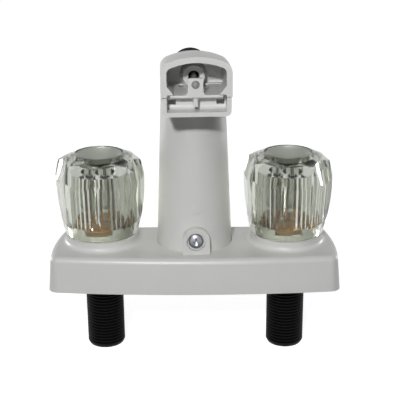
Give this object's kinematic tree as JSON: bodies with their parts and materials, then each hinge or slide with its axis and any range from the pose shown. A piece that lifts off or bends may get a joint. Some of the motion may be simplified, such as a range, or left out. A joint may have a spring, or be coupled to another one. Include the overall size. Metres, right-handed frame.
{
  "type": "tub and shower faucet",
  "caption": "Wall-mounted tub and shower faucet with a knob at each end of its base, a tall spout and a pull-out diverter for a shower hose.",
  "frame": {"origin": "on the wall plane, midway between the two inlet shanks", "axes": "+Z out of the wall along the spout's column, +X along the base to the right knob, +Y up the wall towards the hose outlet, so the tub outlet points along -Y"},
  "size_m": [0.1574, 0.0742, 0.1714],
  "materials": {
    "white_plastic": "moulded white ABS with a soft gloss",
    "black_plastic": "moulded black plastic, matt",
    "clear_acrylic": "clear acrylic, polished mould",
    "brass": "turned brass",
    "screw_steel": "zinc-plated steel",
    "grey_plastic": "moulded natural plastic",
    "rubber": "black rubber"
  },
  "bodies": {
    "faucet": {"base_cover": "white_plastic", "left_valve_body": "black_plastic", "left_seat_seal": "rubber", "left_keeper": "brass", "left_bonnet_nut": "brass", "right_valve_body": "black_plastic", "right_seat_seal": "rubber", "right_keeper": "brass", "right_bonnet_nut": "brass", "crossover": "black_plastic", "crossover_orings": "rubber", "spout_shell": "white_plastic", "spout_riser": "white_plastic", "riser_oring": "rubber", "hose_spud": "black_plastic", "spud_gasket": "rubber", "spout_screw": "screw_steel"},
    "left_handle": {"left_stem": "brass", "left_stem_oring": "rubber", "left_knob": "clear_acrylic", "left_index_cap": "clear_acrylic", "left_handle_screw": "screw_steel"},
    "right_handle": {"right_stem": "brass", "right_stem_oring": "rubber", "right_knob": "clear_acrylic", "right_index_cap": "clear_acrylic", "right_handle_screw": "screw_steel"},
    "diverter": {"diverter_slide": "white_plastic", "diverter_rod": "grey_plastic", "diverter_seal": "rubber"}
  },
  "joints": [
    {"name": "left_turn", "type": "hinge", "parent": "faucet", "child": "left_handle", "pos_m": [-0.0508, 0, 0.05], "axis": [0, 0, 1], "range_deg": [0, 180]},
    {"name": "right_turn", "type": "hinge", "parent": "faucet", "child": "right_handle", "pos_m": [0.0508, 0, 0.05], "axis": [0, 0, 1], "range_deg": [-180, 0]},
    {"name": "diverter_pull", "type": "slide", "parent": "faucet", "child": "diverter", "axis": [0.0523, -0.9986, 0], "range_m": [0, 0.005]}
  ]
}
